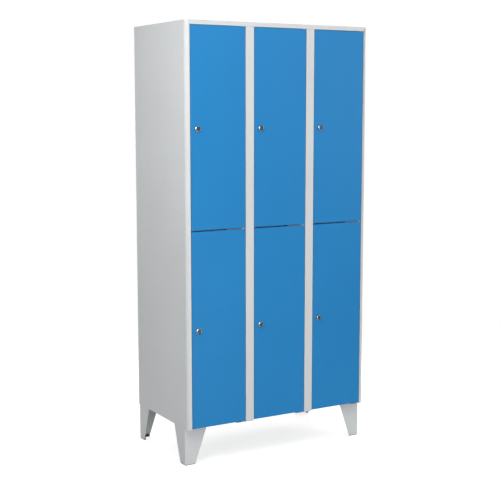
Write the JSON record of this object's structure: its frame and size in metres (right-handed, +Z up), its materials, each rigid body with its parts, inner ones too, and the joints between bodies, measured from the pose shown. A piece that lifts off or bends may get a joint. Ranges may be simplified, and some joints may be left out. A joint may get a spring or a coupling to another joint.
{
  "type": "school locker",
  "caption": "Tall steel locker with rows of flat inset doors, cylinder cam locks, rounded front corners and tapered angle legs.",
  "frame": {"origin": "on the floor, under the middle of the carcass", "axes": "+X to the right of a person facing the doors, -Y out of the doors, +Y to the wall behind, +Z up"},
  "size_m": [0.9, 0.507, 1.86],
  "materials": {
    "carcass_grey": "light grey satin powder coat",
    "door_blue": "light blue satin powder coat",
    "lock_chrome": "bright nickel plate",
    "zinc_steel": "bright zinc plate",
    "black_plastic": "moulded, matte",
    "white_nylon": "moulded nylon",
    "black_rubber": "soft rubber"
  },
  "bodies": {
    "root": {"left_side_panel": "carcass_grey", "right_side_panel": "carcass_grey", "back_panel": "carcass_grey", "roof_panel": "carcass_grey", "floor_panel": "carcass_grey", "post_left": "carcass_grey", "post_right": "carcass_grey", "partition_left": "carcass_grey", "partition_right": "carcass_grey", "shelf_left": "carcass_grey", "shelf_middle": "carcass_grey", "shelf_right": "carcass_grey", "leg_front_left": "carcass_grey", "leg_front_right": "carcass_grey", "leg_rear_left": "carcass_grey", "leg_rear_right": "carcass_grey", "foot_glides": "black_plastic", "leg_bolts": "zinc_steel", "leg_nuts": "zinc_steel", "hinge_plates": "zinc_steel", "hinge_pins": "zinc_steel", "coat_rails": "zinc_steel", "rail_sockets": "lock_chrome", "door_buffers": "black_rubber"},
    "door_upper_left": {"door_panel_upper_left": "door_blue", "door_stiffener_upper_left": "door_blue", "hinge_bushes_upper_left": "white_nylon", "lock_housing_upper_left": "lock_chrome"},
    "plug_upper_left": {"lock_plug_upper_left": "lock_chrome", "lock_cam_upper_left": "zinc_steel"},
    "door_upper_middle": {"door_panel_upper_middle": "door_blue", "door_stiffener_upper_middle": "door_blue", "hinge_bushes_upper_middle": "white_nylon", "lock_housing_upper_middle": "lock_chrome"},
    "plug_upper_middle": {"lock_plug_upper_middle": "lock_chrome", "lock_cam_upper_middle": "zinc_steel"},
    "door_upper_right": {"door_panel_upper_right": "door_blue", "door_stiffener_upper_right": "door_blue", "hinge_bushes_upper_right": "white_nylon", "lock_housing_upper_right": "lock_chrome"},
    "plug_upper_right": {"lock_plug_upper_right": "lock_chrome", "lock_cam_upper_right": "zinc_steel"},
    "door_lower_left": {"door_panel_lower_left": "door_blue", "door_stiffener_lower_left": "door_blue", "hinge_bushes_lower_left": "white_nylon", "lock_housing_lower_left": "lock_chrome"},
    "plug_lower_left": {"lock_plug_lower_left": "lock_chrome", "lock_cam_lower_left": "zinc_steel"},
    "door_lower_middle": {"door_panel_lower_middle": "door_blue", "door_stiffener_lower_middle": "door_blue", "hinge_bushes_lower_middle": "white_nylon", "lock_housing_lower_middle": "lock_chrome"},
    "plug_lower_middle": {"lock_plug_lower_middle": "lock_chrome", "lock_cam_lower_middle": "zinc_steel"},
    "door_lower_right": {"door_panel_lower_right": "door_blue", "door_stiffener_lower_right": "door_blue", "hinge_bushes_lower_right": "white_nylon", "lock_housing_lower_right": "lock_chrome"},
    "plug_lower_right": {"lock_plug_lower_right": "lock_chrome", "lock_cam_lower_right": "zinc_steel"}
  },
  "joints": [
    {"name": "door_hinge_upper_left", "type": "hinge", "parent": "root", "child": "door_upper_left", "pos_m": [-0.1825, -0.244, 1.42275], "axis": [0, 0, 1], "range_deg": [0, 110]},
    {"name": "lock_turn_upper_left", "type": "hinge", "parent": "door_upper_left", "child": "plug_upper_left", "pos_m": [-0.3975, -0.25, 1.42275], "axis": [0, 1, 0], "range_deg": [0, 90]},
    {"name": "door_hinge_upper_middle", "type": "hinge", "parent": "root", "child": "door_upper_middle", "pos_m": [0.1175, -0.244, 1.42275], "axis": [0, 0, 1], "range_deg": [0, 110]},
    {"name": "lock_turn_upper_middle", "type": "hinge", "parent": "door_upper_middle", "child": "plug_upper_middle", "pos_m": [-0.0975, -0.25, 1.42275], "axis": [0, 1, 0], "range_deg": [0, 90]},
    {"name": "door_hinge_upper_right", "type": "hinge", "parent": "root", "child": "door_upper_right", "pos_m": [0.4175, -0.244, 1.42275], "axis": [0, 0, 1], "range_deg": [0, 110]},
    {"name": "lock_turn_upper_right", "type": "hinge", "parent": "door_upper_right", "child": "plug_upper_right", "pos_m": [0.2025, -0.25, 1.42275], "axis": [0, 1, 0], "range_deg": [0, 90]},
    {"name": "door_hinge_lower_left", "type": "hinge", "parent": "root", "child": "door_lower_left", "pos_m": [-0.1825, -0.244, 0.58225], "axis": [0, 0, 1], "range_deg": [0, 110]},
    {"name": "lock_turn_lower_left", "type": "hinge", "parent": "door_lower_left", "child": "plug_lower_left", "pos_m": [-0.3975, -0.25, 0.58225], "axis": [0, 1, 0], "range_deg": [0, 90]},
    {"name": "door_hinge_lower_middle", "type": "hinge", "parent": "root", "child": "door_lower_middle", "pos_m": [0.1175, -0.244, 0.58225], "axis": [0, 0, 1], "range_deg": [0, 110]},
    {"name": "lock_turn_lower_middle", "type": "hinge", "parent": "door_lower_middle", "child": "plug_lower_middle", "pos_m": [-0.0975, -0.25, 0.58225], "axis": [0, 1, 0], "range_deg": [0, 90]},
    {"name": "door_hinge_lower_right", "type": "hinge", "parent": "root", "child": "door_lower_right", "pos_m": [0.4175, -0.244, 0.58225], "axis": [0, 0, 1], "range_deg": [0, 110]},
    {"name": "lock_turn_lower_right", "type": "hinge", "parent": "door_lower_right", "child": "plug_lower_right", "pos_m": [0.2025, -0.25, 0.58225], "axis": [0, 1, 0], "range_deg": [0, 90]}
  ]
}
